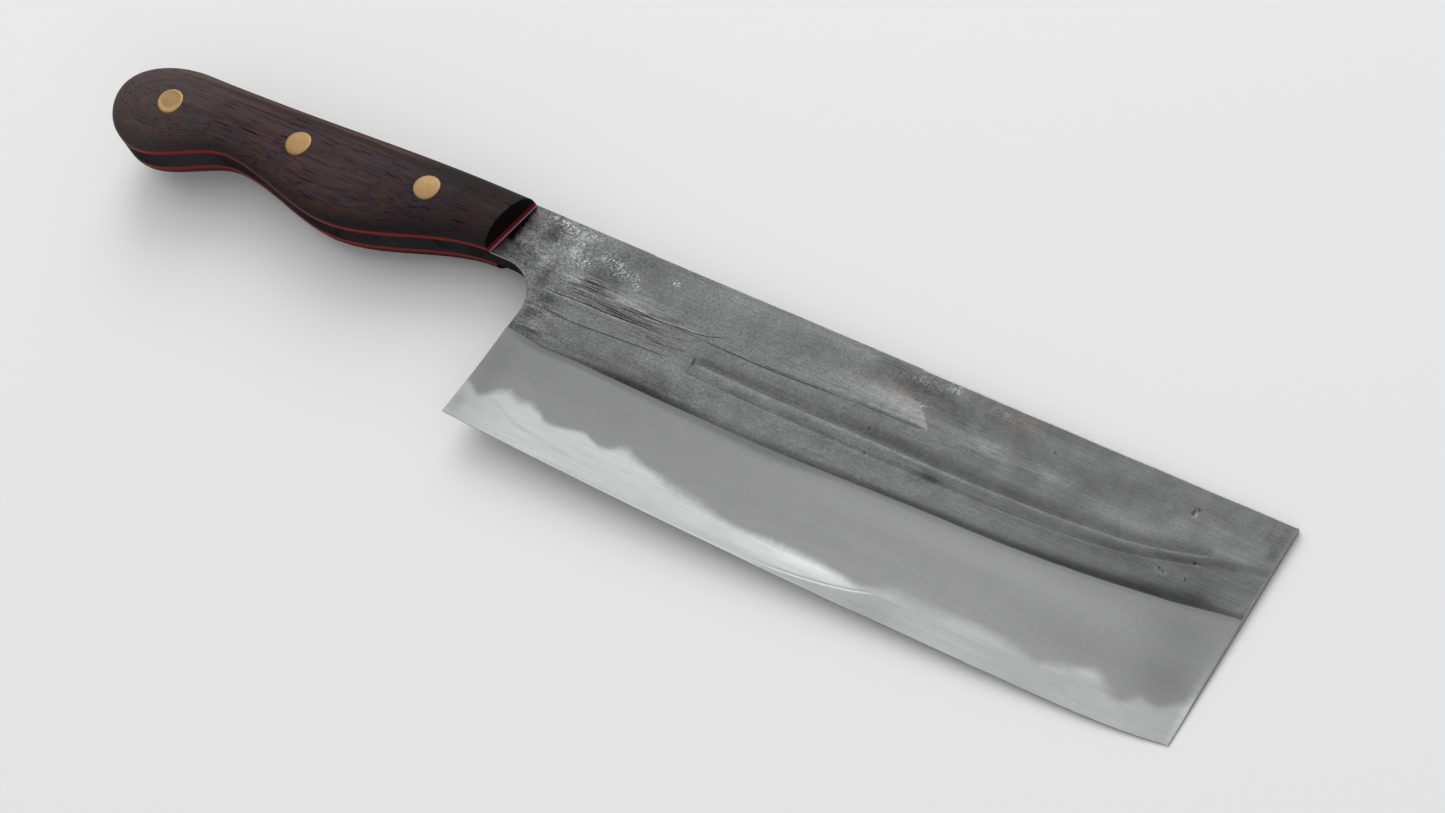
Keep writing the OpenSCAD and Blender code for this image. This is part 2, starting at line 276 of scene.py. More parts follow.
# Soft light and dark patches of the forged skin: (x, y, half length, half width, strength).
SKIN_PATCHES = [
    (2, -12.4, 4, 1, -0.25), (2.6, -6.5, 1.2, 1.6, 0.36), (4, -10.8, 4, 2.2, -0.3),
    (6.5, -5, 2.8, 2.4, -0.38), (7.6, -2.4, 2.2, 2.6, -0.26), (8, -2.8, 2.4, 1.2, -0.2),
    (8, -9, 2.6, 6, -0.28), (8.6, -10.6, 1.3, 2.6, 0.45), (9, -3.6, 3, 1.6, -0.2),
    (11, -15, 2, 3.5, -0.24), (11, -14.4, 4, 1.6, -0.25), (12.6, -22.4, 1.6, 1.3, -0.55),
    (13, -25.8, 3.4, 0.6, -0.32), (13.5, -6.5, 2.2, 1.6, 0.42), (13.5, -1.6, 3.5, 1.4, 0.3),
    (14.5, -17.8, 2.4, 1.5, -0.75), (16.4, -11.4, 2.4, 1.6, 0.22), (20, -7.4, 5, 1, -0.22),
    (24, -8.4, 5, 0.8, -0.3), (24, -25.6, 4, 0.9, -0.16), (24, -8, 4, 3.4, -0.28),
    (24, -23, 8, 2.4, -0.12), (27, -17.8, 6, 1.4, 0.1), (28, -10, 6, 0.8, -0.16),
    (30, -9.5, 5, 2, 0.2), (30, -12.8, 3, 0.7, 0.3), (31, -25.2, 4, 0.9, -0.4),
    (31, -2.6, 7, 2.5, -0.14), (31, -14.2, 8, 1, -0.34), (34, -10.6, 8, 2, 0.16),
    (36, -22.6, 5, 1.6, -0.22), (37, -16.4, 9, 2, -0.14), (38, -25.4, 5, 1, -0.22),
    (44, -21, 7, 2, 0.17), (46, -23.8, 6, 1.4, -0.14), (48, -25.2, 3, 1, -0.35),
    (49.9, -17.7, 0.25, 0.7, 0.45), (50.5, -17.7, 0.3, 0.8, -1.5), (52, -3, 12, 2.6, 0.22),
    (54, -16.8, 4, 0.7, -0.2), (56, -18.4, 4, 1, -0.14), (60, -16.8, 10, 0.8, -0.2),
    (60, -19, 10, 0.6, 0.1), (62, -20.2, 3, 0.5, -0.25), (66, -4, 14, 3, -0.1),
    (68, -14.6, 7, 1.4, 0.12), (72, -1.4, 16, 1.2, 0.2), (75.5, -20.2, 2.5, 0.5, -0.35),
    (80, -22.6, 14, 1.6, -0.1), (83, -20.3, 3, 0.4, -0.25), (84, -2.4, 4, 1.6, 0.2),
    (88, -10.6, 10, 1, -0.24), (88.5, -1.6, 3, 0.8, -0.25), (90, -1.6, 5, 1.4, -0.12),
    (90, -14.6, 40, 1.2, -0.06), (91, -16.2, 8, 1.1, -0.22), (92, -3, 7, 1.8, -0.32),
    (94, -8.6, 8, 2.2, 0.12), (96, -4.4, 5, 1.6, -0.18), (98, -3.6, 6, 1.2, -0.3),
    (100, -16, 7, 1.4, -0.18), (102, -16, 14, 1.6, -0.18), (103, -1.7, 2.4, 1.2, 0.2),
    (104, -6, 7, 2.2, -0.38), (105, -20, 5, 0.9, -0.12), (105.6, -21.5, 2.6, 0.9, -0.25),
    (107.6, -20, 2.4, 0.7, -0.9), (110, -3.4, 8, 2, -0.1), (110, -1.4, 5, 1, 0.05),
    (112, -22.4, 12, 1.4, 0.12), (113, -9.6, 7, 1.6, 0.3), (118, -2.2, 4, 1.2, 0.1),
    (120, -14.2, 14, 1.2, 0.12), (121, -5.4, 6, 2, -0.26), (122, -10.6, 2.4, 2.6, -0.12),
    (125, -15.6, 12, 1.4, -0.22), (128, -1.4, 14, 1.6, -0.26), (128, -9.8, 6, 1.4, 0.2),
    (135, -2.4, 9, 2, 0.06), (136, -19.8, 34, 3.4, -0.17), (137, -6.8, 8, 2.4, -0.25),
    (138, -10.8, 3, 2.6, -0.16), (147, -17.6, 8, 1.2, -0.3), (148, -12.8, 8, 1.2, 0.22),
    (150, -5, 8, 2, -0.16), (150, -11.4, 8, 1.6, 0.2), (152, -19.4, 10, 1.4, -0.14),
    (152.4, -6, 0.5, 0.4, 0.3), (157, -8.4, 3, 1.4, 0.16), (158, -15.4, 6, 1.2, -0.35),
    (158.1, -5.8, 0.4, 0.4, 0.55), (164, -8, 12, 4, 0.06), (166, -15.5, 7, 2.6, -0.22),
    (166, -17.8, 5, 1.6, -0.15), (168, -12.6, 7, 1.6, -0.2), (169, -10, 4, 1.2, 0.2),
    (171, -17.4, 4, 1.2, 0.08), (173.4, -12, 3, 1, 0.2), (174, -4.6, 3, 1.6, -0.14),
    (175, -7.2, 1, 1.2, -0.4)]
# The same on the ground bevel and the bare strip.
GROUND_PATCHES = [
    (9, -44.6, 1.6, 2.4, -0.25), (12, -36, 3, 8, -0.14), (14, -31.5, 8, 4, -0.08),
    (28, -28.9, 10, 0.3, 0.06), (30, -33, 20, 4, -0.06), (42, -41.6, 26, 1, 0.05),
    (60, -48.6, 40, 0.6, -0.05), (86, -48.8, 22, 1, -0.12), (96, -45.6, 8, 1.2, 0.14),
    (100, -31, 30, 2.6, 0.1), (100, -40, 30, 2, -0.08), (112, -41, 45, 5, 0.13),
    (130, -46, 22, 1.4, -0.05), (135, -30, 26, 3, 0.12), (150, -38, 12, 3, -0.1),
    (155, -42.4, 3, 1, 0.1), (163, -44, 5, 0.8, -0.12), (168, -28, 9, 6, -0.22),
    # the last patch here is a painted highlight along the tip's edge
    (169, -38, 6, 5, -0.26), (175.4, -40, 0.9, 9, 0.3)]
# Warm stains: the same.
STAINS = [
    (23, -13.8, 3, 0.9, 0.5), (31.6, -15.4, 5, 1.3, 0.8), (42, -25, 8, 1, 0.2),
    (93, -5.7, 7, 0.5, 1.2), (100, -9.4, 1.4, 0.6, 1), (117.5, -2.6, 4, 1.4, 0.8),
    (158.6, -4.6, 1.4, 1, 1)]
# Where lengthwise scraping shows: the same.
STREAKS = [
    (14, -20.6, 3, 2, 1), (16, -25.4, 5, 1.2, 0.9), (20, -12, 7, 3.2, 1), (33, -13, 9, 2.8, 1),
    (42, -17, 7, 1.4, 0.5), (44, -12.6, 6, 1.6, 0.7), (80, -9.6, 20, 2, 0.1),
    (105, -15.6, 50, 2, 0.06), (120, -10.4, 18, 2.4, 0.25), (120, -19, 50, 1.2, 0.14),
    (165, -15.6, 8, 3, 0.05)]
# Where the skin is cloudiest: the same.
MOTTLES = [
    (6, -7, 8, 8, 1.3), (14, -20, 4, 6, 0.6), (20, -4, 10, 4, 0.7), (45, -23, 30, 3, 0.3),
    (105, -3, 18, 3, 0.4), (120, -8, 20, 5, 0.15), (160, -4, 14, 4, 0.2)]
# Coarse scale, with painted glints: the same.
FROST_GLINTS = [
    (8, -1.4, 4, 0.8, 1), (11, -3.4, 3, 1, 0.4), (14.5, -1.6, 2, 0.8, 0.9),
    (15, -5, 1.4, 1.4, 0.6), (17, -7.4, 2, 1, 1), (18, -11, 1, 0.8, 0.4), (22, -4.8, 2.2, 1, 0.8),
    (24.6, -6.4, 1.6, 1.4, 1.1), (28.4, -6, 1.4, 0.7, 1), (30.2, -8, 0.8, 0.7, 1.1),
    (37.5, -3.9, 1, 0.6, 1), (96, -2.4, 5, 1, 0.25), (98, -7.2, 0.8, 0.8, 0.5),
    (103.4, -1.4, 2, 0.8, 0.5), (114, -2.2, 3, 0.8, 0.2)]
# Small corroded pits: (x, y, radius).
PITS = [
    (5.6, -12.8, 0.4), (91, -15.5, 0.33), (92.9, -20.7, 0.28), (127.1, -5.4, 0.3),
    (157, -18.1, 0.34), (157.4, -5.6, 0.42), (157.4, -5, 0.34), (158, -18.4, 0.28),
    (158.1, -4.5, 0.36), (162.6, -14.5, 0.4), (162.6, -18.2, 0.28), (163.4, -14.3, 0.25),
    (167.3, -24.2, 0.28)]


def patches(x, y, table):
    """The sum of soft patches at each point."""
    total = np.zeros_like(x)
    for px, py, length, width, strength in table:
        total += strength * np.exp(-((x - px) / length) ** 2 - ((y - py) / width) ** 2)
    return total


def scallop(x, y):
    """How far a point lies inside the upper scraped hollow's rounded end."""
    return smooth((SCALLOP_END(y) - x) / 0.7) * smooth((y - UPPER_SCRAPE(x)) / 0.3)


def relief(x, y):
    """Height of the worked surface over the plain one: scraping, forging and pits."""
    between = np.maximum(UPPER_SCRAPE(x) - MIDDLE_SCRAPE(x), 0.5)
    middle = y - MIDDLE_SCRAPE(x)
    lower = y - LOWER_SCRAPE(x)
    # The long hollows above the middle scrape and above the lower one.
    height = -0.07 * span(x, 48, 168, 8, 14) * smooth(middle / 0.5) * smooth(
        (between - middle) / between)
    height -= 0.05 * span(x, 46, 168, 8, 12) * smooth(lower / 0.5) * smooth(-middle / 2.2)
    # The rounded hollow under the spine and the one that starts at the heel.
    height -= 0.05 * span(x, 60, 110, 30, 3) * scallop(x, y) * smooth((-4.6 - y) / 3)
    height -= 0.03 * span(x, 12, 47, 4, 5) * smooth((y - HEEL_SCRAPE(x)) / 0.4) * smooth(
        (-15 - y) / 3)
    # The lines of the neck.
    for offset, climb, start, end, depth in NECK_LINES:
        away = y - NECK_SCRAPE(x) - offset - climb * (x - 30) / 20
        height -= 0.03 * depth * span(x, start, end, 4, 6) * np.exp(-(away / 0.35) ** 2)
    # Forged unevenness, which ends with the rest at the bevel.
    height += 0.012 * (np.sin(x * 0.31 + 0.6 * np.sin(y * 0.5)) * np.sin(y * 0.37 + 1.3)
                       + 0.6 * np.sin(x * 0.83 + 1.7) * np.sin(y * 0.71 + np.sin(x * 0.2)))
    height *= smooth((y - GRIND(x)) / 1.5)
    for px, py, r in PITS:
        height -= 0.25 * r * np.exp(-((x - px) ** 2 + (y - py) ** 2) / (0.7 * r) ** 2)
    # The step of the finish near the edge.
    height -= 0.05 * span(x, 80, 112, 6, 10) * smooth((EDGE_ARC(x) - y) / 0.3)
    return height


def skin_tone(x, y):
    """How much lighter or darker the forged skin is than its plain grey."""
    shade = patches(x, y, SKIN_PATCHES)
    for px, py, r in PITS:
        out = np.hypot(x - px, y - py) / r
        shade += 0.35 * np.exp(-((out - 1.5) / 0.4) ** 2) - 1.3 * np.exp(-out ** 2)
    # The dark band above the grind line: forge scale, with painted shade of the bend.
    above = np.maximum(y - GRIND(x), 0) / SMEAR_AND_SHADE_HEIGHT(x)
    shade -= 1.45 * SMEAR_AND_SHADE(x) * np.exp(-(above - 0.3) ** 2)
    shade += scallop(x, y) * span(x, 62, 110, 36, 1) * smooth((-4.6 - y) / 3) * 0.5
    # Painted shade in the hollow between the middle and lower scrapes, towards the tip.
    below = LOWER_SCRAPE(x) - y
    groove_shade = smooth(-below / 0.6) * smooth((MIDDLE_SCRAPE(x) - y) / 0.8)
    shade -= 0.3 * span(x, 150, 184, 12, 8) * groove_shade
    # The last half millimetre at the tip gets a painted highlight along its edge.
    return np.exp(shade + 0.25 * smooth((x - 176.1) / 0.4))


def ground_tone(x, y):
    """The same for the bevel and the bare strip."""
    shade = patches(x, y, GROUND_PATCHES)
    # Painted shadow on the bevel just below the grind line, and a softer one that reaches farther
    # down.
    below = np.maximum(GRIND(x) - y, 0) / GRIND_SHADOW_REACH(x)
    shade -= GRIND_SHADOW(x) * (1 - smooth((below - 0.4) / 0.9))
    shade -= 0.12 * np.exp(-np.maximum(GRIND(x) - y, 0) / 3)
    shade -= 0.12 * span(x, 14, 44, 4, 10) * np.exp(-((y - SCUFF(x)) / 0.3) ** 2)
    # Painted shade on the steeper facet below the edge arc.
    facet_shade = span(x, 80, 120, 8, 16) * smooth((EDGE_ARC(x) - y) / 0.35)
    # The tip's edge gets a painted highlight here too.
    return np.exp(shade - 0.3 * facet_shade + 0.2 * smooth((x - 176.1) / 0.4))


def mark(x, y, line, start, end):
    """Distance above a scraped line, growing where the line has run out."""
    away = y - line(x)
    return away + 6 * (1 - span(x, start, end, 5, 5)) * np.where(away < 0, -1, 1)


# ---- the blade ----

def place_of(co):
    """Millimetres ahead of the handle and above the spine line, of points in metres."""
    co = np.asarray(co, float).reshape(-1, 3)
    return (co[:, 0] - FRONT) / MM, (co[:, 1] - SPINE) / MM


def is_sheet(f, core):
    """Whether a face is part of the blade's broad sides, and not a wall or a hidden face."""
    middle = f.calc_center_median()
    outward = f.normal.z * (1 if middle.z > 0 else -1)
    ahead = middle.x > FRONT - (UNDER_HANDLE + GRID) * MM
    inside = abs(middle.z) < TANG_TOP - 0.05 * MM
    return ahead and inside and outward > 0.97 and (not core or abs(f.normal.y) > 0.015)


def wavy_line():
    """Where the cladding ends and the core steel shows, along the blade."""
    core = merged("core_steel")
    corners = tree_of([v.co for v in core.verts])
    bm = merged("cladding_right")
    line = [v.co for f in bm.faces if is_sheet(f, False) for v in f.verts
            if corners.find(v.co)[2] < 2 * WELD]
    px, py = zip(*sorted(set(zip(*(np.round(v, 3) for v in place_of(line))))))
    bm.free()
    core.free()
    return lambda x: np.interp(x, px, py)


WAVY = wavy_line()


def rim_edges(bm, core, long_side):
    """The convex edges between the broad sides and the walls of the blade's outline."""
    sheet = [f for f in bm.faces if is_sheet(f, core)]
    edges = []
    for e in dict.fromkeys(e for f in sheet for e in f.edges):
        walls = [g for g in e.link_faces if abs(g.normal.z) < 0.5]
        if walls and e.is_convex and (walls[0].normal.y > 0.7) == long_side:
            x, y = place_of((e.verts[0].co + e.verts[1].co) / 2)
            if abs(y[0] - WAVY(x[0])) > 0.1 or x[0] < 5:
                edges.append(e)
    return edges


def lip_edges(bm):
    """The edges of the tang's small step, just ahead of the liners."""
    top = [e for e in bm.edges if all(abs(abs(v.co.z) - TANG_TOP) < WELD for v in e.verts)]
    return [e for e in top if any(f.normal.dot(handle.ahead) > 0.9 for f in e.link_faces)]


def ease(bm, edges, width):
    """Rounds edges over by a width in millimetres."""
    bmesh.ops.bevel(bm, geom=edges, offset=width * MM, segments=2, profile=0.5,
                    affect="EDGES", material=-1)


def paint(mesh):
    """Writes on each point of the blade how far it is from the lines of its finish."""
    co = np.empty(len(mesh.vertices) * 3)
    mesh.vertices.foreach_get("co", co)
    x, y = place_of(co)
    layers = {
        "heights": (y - GRIND(x), (y - CLOUD(x)) / STRIP_SOFTNESS(x), STRIP_GLOW(x)),
        "scrapes": (mark(x, y, UPPER_SCRAPE, 46, 105), mark(x, y, MIDDLE_SCRAPE, 48, 168),
                    mark(x, y, LOWER_SCRAPE, 46, 168)),
        "lines": (mark(x, y, HEEL_SCRAPE, 10, 48), mark(x, y, UPPER_ECHO, 60, 104),
                  y - NECK_SCRAPE(x)),
        "tones": (skin_tone(x, y), ground_tone(x, y), y - EDGE_ARC(x)),
        "textures": (patches(x, y, STREAKS), patches(x, y, MOTTLES), GRAIN(x)),
        "spots": (patches(x, y, STAINS), patches(x, y, FROST_GLINTS), np.zeros_like(x))}
    for name, values in layers.items():
        layer = mesh.attributes.new(name, "FLOAT_VECTOR", "POINT")
        layer.data.foreach_set("vector", np.stack(values, 1).ravel())


def blade_layer(name, node, eases, materials):
    """One layer of the blade, with eased edges, a fine even grid and its worked surface."""
    core = node == "core_steel"
    bm = merged(node)
    bmesh.ops.dissolve_limit(bm, angle_limit=FLAT, verts=bm.verts, edges=bm.edges)
    for long_side, width in zip((True, False), eases):
        ease(bm, rim_edges(bm, core, long_side), width)
    if not core:
        ease(bm, lip_edges(bm), LIP_EASE)
    first = FRONT - UNDER_HANDLE * MM
    ahead = [f for f in bm.faces if max(v.co.x for v in f.verts) > first]
    sliced(bm, ahead, 0, first, TIP, GRID * MM)
    bm.normal_update()
    broad = [f for f in bm.faces if is_sheet(f, core) or (
        0.3 < abs(f.normal.z) < 0.97 and f.calc_center_median().x > first)]
    sliced(bm, broad, 1, EDGE, SPINE, GRID * MM)
    bm.normal_update()
    for f in bm.faces:
        f.smooth = True
        f.material_index = WORKED if is_sheet(f, core) else RIM
        if abs(f.normal.z) < 0.3 and f.calc_center_median().x < FRONT + DARK_WALLS * MM:
            f.material_index = DARK
    for e in bm.edges:
        broadside = all(f.material_index == WORKED for f in e.link_faces)
        turn = math.degrees(e.calc_face_angle(0))
        e.smooth = turn < (0.8 if broadside else 15)
    worked = dict.fromkeys(v for f in bm.faces if f.material_index == WORKED for v in f.verts)
    x, y = place_of([v.co for v in worked])
    for v, height in zip(worked, relief(x, y)):
        v.co.z += math.copysign(1, v.co.z) * height * MM
    follow_handle(bm)
    bmesh.ops.dissolve_degenerate(bm, dist=WELD / 4, edges=bm.edges)
    obj = piece(name, bm, [node], materials, None)
    paint(obj.data)


# ---- the handle ----

class Handle:
    """The handle's outer form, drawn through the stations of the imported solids."""

    def __init__(self):
        liner = merged("liner_right")
        shell = merged("scale_right", *PINS)
        crown = BVHTree.FromBMesh(shell)
        pins = [sum(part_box(p), Vector()) / 2 for p in PINS]
        # The liner's corners, without those of its bores, give the outline at each station.
        outline = {}
        for v in liner.verts:
            if all((v.co - p).xy.length > 4 * MM for p in pins):
                outline.setdefault(round(v.co.x, 6), set()).add(round(v.co.y, 6))
        rows = []
        for x in sorted(outline, reverse=True):
            back, belly = max(outline[x]), min(outline[x])
            if belly < SPINE - 10 * MM:
                back = back if back > belly else SPINE
                inside = max(x, min(outline) + 0.01 * MM)
                top = crown.ray_cast(Vector((inside, (back + belly) / 2, FAR)),
                                     Vector((0, 0, -1)))[0]
                rows.append((x, back, belly, top.z))
        self.foot = Vector((rows[0][0], rows[0][2], 0))
        # The form runs on past the leaning front, which is cut later.
        rows = [(FRONT + d * MM, SPINE, self.foot.y, rows[0][3]) for d in (6, 3, 0)] + rows
        self.count = len(rows) - 1
        self.x, self.back, self.belly, self.top = (
            curve(*enumerate(column)) for column in zip(*rows))
        self.steps = np.linspace(0, self.count, 2400)
        self.step_x = self.x(self.steps)
        self.outline = tree_of([(self.x(t), line(t), 0) for t in self.steps
                                for line in (self.back, self.belly)])
        self.front = Vector((FRONT, SPINE, 0))
        self.ahead = Vector((SPINE - self.foot.y, self.foot.x - FRONT, 0)).normalized()
        liner.free()
        shell.free()

    def section(self, t):
        """The handle's middle, half width and rise of its dome at a station."""
        back, belly = self.back(t), self.belly(t)
        return (back + belly) / 2, (back - belly) / 2, self.top(t) - SCALE_FOOT

    def height(self, x, y):
        """Height of the domed crown over the mid-plane."""
        middle, reach, rise = self.section(
            np.interp(x, self.step_x[::-1], self.steps[::-1]))
        dome = np.sqrt(np.clip(1 - ((y - middle) / reach) ** 2, 0, 1))
        return SCALE_FOOT + rise * dome

    def form(self, sides=28, rows=3):
        """The closed outer form: two domes with straight walls between them."""
        bm = bmesh.new()
        ring = 2 * (sides + 1)
        bmesh.ops.create_grid(bm, x_segments=rows * self.count, y_segments=ring, size=1)
        for v in bm.verts:
            t = (v.co.x + 1) / 2 * self.count
            step = round((v.co.y + 1) / 2 * ring) % ring
            upper = step <= sides
            a = math.pi * (step if upper else ring - 1 - step) / sides
            middle, reach, rise = self.section(t)
            z = SCALE_FOOT + rise * math.sin(a)
            v.co = (self.x(t), middle + reach * math.cos(a), z if upper else -z)
        bmesh.ops.remove_doubles(bm, verts=bm.verts, dist=WELD)
        bmesh.ops.holes_fill(bm, edges=[e for e in bm.edges if e.is_boundary])
        bmesh.ops.recalc_face_normals(bm, faces=bm.faces)
        return bm

    def layer(self, low, high):
        """The part of the form between two levels and behind the leaning front."""
        bm = self.form()
        cut_off(bm, (0, 0, high), (0, 0, 1))
        cut_off(bm, (0, 0, low), (0, 0, -1))
        return bm, cut_off(bm, self.front, self.ahead)


handle = Handle()


def follow_handle(bm):
    """Brings the tang's outline onto the handle's smooth one."""
    last = FRONT - 5 * MM
    walls = [f for f in bm.faces if min(v.co.x for v in f.verts) < last]
    sliced(bm, walls, 0, BUTT, last, OUTLINE_STEP * MM)
    for v in bm.verts:
        if v.co.x < last:
            near, _, gap = handle.outline.find((v.co.x, v.co.y, 0))
            if gap < OUTLINE_REACH * MM:
                v.co.x, v.co.y = near.x, near.y


def rod(bm, name, segments, length, gap=0.0):
    """A plain rod where a pin runs, with a gap round it. Returns its middle and radius."""
    low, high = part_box(name)
    middle = (low + high) / 2
    radius = (high.x - low.x) / 2 + gap * MM
    bmesh.ops.create_cone(bm, cap_ends=True, segments=segments, depth=length * MM,
                          radius1=radius, radius2=radius,
                          matrix=Matrix.Translation((middle.x, middle.y, 0)))
    return middle, radius


def bored(bm):
    """The layer with its three pin holes."""
    drill = bmesh.new()
    for name in PINS:
        rod(drill, name, 96, 60, PIN_GAP)
    body, tool = solid("bored", bm), solid("drill", drill)
    bores = body.modifiers.new("bores", "BOOLEAN")
    bores.operation, bores.solver, bores.object = "DIFFERENCE", "EXACT", tool
    shaped = bpy.data.meshes.new_from_object(
        body.evaluated_get(bpy.context.evaluated_depsgraph_get()))
    out = bmesh.new()
    out.from_mesh(shaped)
    for mesh in (body.data, tool.data, shaped):
        bpy.data.meshes.remove(mesh)
    return out


def scale(side, wood):
    """A wooden scale on one side, its front rim eased."""
    top = cad_box[1][2] + MM
    bm, rim = handle.layer(*sorted((side * SCALE_FOOT, side * top)))
    foot = [e for e in rim if all(abs(abs(v.co.z) - SCALE_FOOT) < WELD for v in e.verts)]
    ease(bm, [e for e in rim if e not in foot], FRONT_EASE)
    name = "scale_" + SIDES[side]
    piece("wood_" + name, bored(bm), [name], [wood])


def liner(side, fibre):
    """The red liner under a scale."""
    bm, _ = handle.layer(*sorted((side * TANG_TOP, side * SCALE_FOOT)))
    name = "liner_" + SIDES[side]
    piece("fibre_" + name, bored(bm), [name], [fibre])


def pin(name, brass, dish):
    """A brass pin through the handle, both heads finished flush with the wood."""
    bm = bmesh.new()
    middle, radius = rod(bm, name, 64, 12)
    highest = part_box(name)[1].z
    for cap in [f for f in bm.faces if len(f.verts) > 4]:
        for step in HEAD_RINGS:
            bmesh.ops.inset_region(bm, faces=[cap], thickness=step * MM, use_even_offset=True)
        bmesh.ops.poke(bm, faces=[cap])
    for v in bm.verts:
        out = (v.co.xy - middle.xy).length / radius
        drop = HEAD_RIM * smooth((out - 0.95) / 0.05) + dish * smooth((0.82 - out) / 0.12)
        top = handle.height(v.co.x, v.co.y) - drop * MM
        v.co.z = math.copysign(min(top, highest), v.co.z)
    piece("brass_" + name, bm, [name], [brass], math.radians(40))


# ---- materials ----

class Finish:
    """A procedural material: its nodes are added by short calls that return a socket."""

    def __init__(self, name, **plain):
        self.material = bpy.data.materials.new(name)
        self.material.use_nodes = True
        self.tree = self.material.node_tree
        self.shader = self.tree.nodes["Principled BSDF"]
        self.set(**plain)

    def add(self, kind, inputs=(), out=0, **settings):
        node = self.tree.nodes.new("ShaderNode" + kind)
        for key, value in settings.items():
            setattr(node, key, value)
        for key, value in dict(inputs).items():
            self.join(value, node.inputs[key])
        return node.outputs[out]

    def join(self, value, socket):
        if isinstance(value, bpy.types.NodeSocket):
            self.tree.links.new(value, socket)
        else:
            socket.default_value = value

    def set(self, **sockets):
        for socket, value in sockets.items():
            self.join(value, self.shader.inputs[socket.replace("_", " ")])

    def places(self, stretch=(1, 1, 1), turn=(0, 0, 0), origin=(FRONT, SPINE, 0)):
        """Millimetres from an origin, squeezed along each axis by the stretch."""
        point = self.add("TexCoord", out="Object")
        scale = [1 / MM / s for s in stretch]
        where = [-o * s for o, s in zip(origin, scale)]
        moved = self.add("Mapping", {0: point, 1: where, 3: scale})
        return self.add("Mapping", {0: moved, 2: turn}) if any(turn) else moved

    def noise(self, vector, size, detail=2, rough=0.5, distortion=0):
        return self.add("TexNoise", {"Vector": vector, "Scale": 1 / size, "Detail": detail,
                                     "Roughness": rough, "Distortion": distortion})

    def calc(self, operation, *values):
        return self.add("Math", dict(enumerate(values)), operation=operation)

    def fade(self, value, start, end, low=0, high=1):
        """Goes softly from low at start to high at end."""
        if start > end:
            start, end, low, high = end, start, high, low
        return self.add("MapRange", {0: value, 1: start, 2: end, 3: low, 4: high},
                        interpolation_type="SMOOTHSTEP")

    def around(self, value, width, soft):
        """1 where a distance is near 0, within the width."""
        return self.fade(self.calc("ABSOLUTE", value), width, width + soft, 1, 0)

    def mix(self, share, a, b):
        return self.add("Mix", {0: share, 2: a, 3: b}, data_type="FLOAT")

    def tint(self, share, a, b, blend="MIX"):
        return self.add("Mix", {0: share, 6: a, 7: b}, out=2, data_type="RGBA",
                        blend_type=blend)

    def product(self, *values):
        """All the values multiplied."""
        total = values[0]
        for value in values[1:]:
            total = self.calc("MULTIPLY", total, value)
        return total

    def swing(self, value, amount):
        """A factor round 1 from a 0 to 1 noise."""
        return self.calc("MULTIPLY_ADD", value, 2 * amount, 1 - amount)

    def wavering(self, value, noise, amount):
        """A value that wanders with a 0 to 1 noise."""
        return self.calc("ADD", value, self.calc("MULTIPLY_ADD", noise, amount, -amount / 2))

    def varied(self, noise, plain, extra, where):
        """A factor round 1 that swings more where the surface is painted so."""
        amount = self.calc("MULTIPLY_ADD", where, extra, plain)
        return self.calc("MULTIPLY_ADD", self.calc("SUBTRACT", noise, 0.5), amount, 1)

    def line(self, away, depth, width=0.06, soft=0.2):
        """A factor that is darker by the depth where a distance is near 0."""
        return self.calc("MULTIPLY_ADD", self.around(away, width, soft),
                         self.calc("MULTIPLY", depth, -1), 1)

    def step(self, away, dark, reach, light, rise):
        """A scraped step, with painted shade above its line and a painted highlight just below
        it.
        """
        over = self.fade(away, -0.06, 0.12)
        shade = self.calc("MULTIPLY", over, self.fade(away, 0, reach, dark, 0))
        shine = self.calc("MULTIPLY", self.calc("SUBTRACT", 1, over),
                          self.fade(away, -rise, 0, 0, light))
        return self.calc("ADD", 1, self.calc("SUBTRACT", shine, shade))

    def parts(self, vector):
        """The three numbers of a vector."""
        return tuple(self.add("SeparateXYZ", {0: vector}).node.outputs)

    def painted(self, name):
        """The three numbers painted on the mesh under this name."""
        return self.parts(self.add("Attribute", out="Vector", attribute_name=name))

    def cells(self, vector, scale=1):
        """How far the nearest of many strewn points is, and that point's own number."""
        near = self.add("TexVoronoi", {"Vector": vector, "Scale": scale})
        return near, self.add("SeparateColor", {0: near.node.outputs["Color"]})

    def pores(self, stretch, radius):
        """Slender hollows strewn along X, of random lengths, many cells without any."""
        near, chance = self.cells(self.places(stretch))
        size = self.fade(chance, 0.35, 1, 0.02, 2.2 * radius)
        near = self.calc("SUBTRACT", near, size)
        return self.product(self.fade(near, 0.03, 0), self.fade(chance, 0.35, 0.45))

    def bump(self, *layers):
        """Stacks (height, depth in mm) layers into the shader's normal."""
        normal = None
        for height, depth in layers:
            inputs = {"Height": height, "Distance": depth * MM, "Strength": 1}
            if normal:
                inputs["Normal"] = normal
            normal = self.add("Bump", inputs)
        self.set(Normal=normal)


def grey(finish, value, warmth=0.0):
    """A grey colour from a brightness, slightly warm or cool."""
    return finish.add("CombineColor", {0: finish.calc("MULTIPLY", value, 1 + warmth), 1: value,
                                       2: finish.calc("MULTIPLY", value, 1 - warmth)})


def steel_noises(f):
    """The noises that the blade's three surfaces share, and the place along it."""
    at = f.places()

    def drawn(stretch, detail, rough=0.5, distortion=0, turn=0.0):
        where = f.places((*stretch, 1), (0, 0, turn))
        return f.noise(where, 1, detail, rough, distortion)

    along, above, _ = f.parts(at)
    return SimpleNamespace(
        at=at, along=along, above=above,
        clouds=f.noise(at, 6, 3, 0.6, 0.8), blotches=f.noise(at, 2.2, 4, 0.65, 0.8),
        grain=drawn((0.65, 0.4), 2, 0.7), streaks=drawn((9, 0.5), 4, 0.65, 0.4),
        scratches=drawn((5, 0.22), 2, 0.6, 0, 0.02), hairs=drawn((30, 0.3), 3, 0.6),
        fine=drawn((9, 0.12), 2), wisps=drawn((16, 1.1), 3, 0.6, 0.5, -0.05))


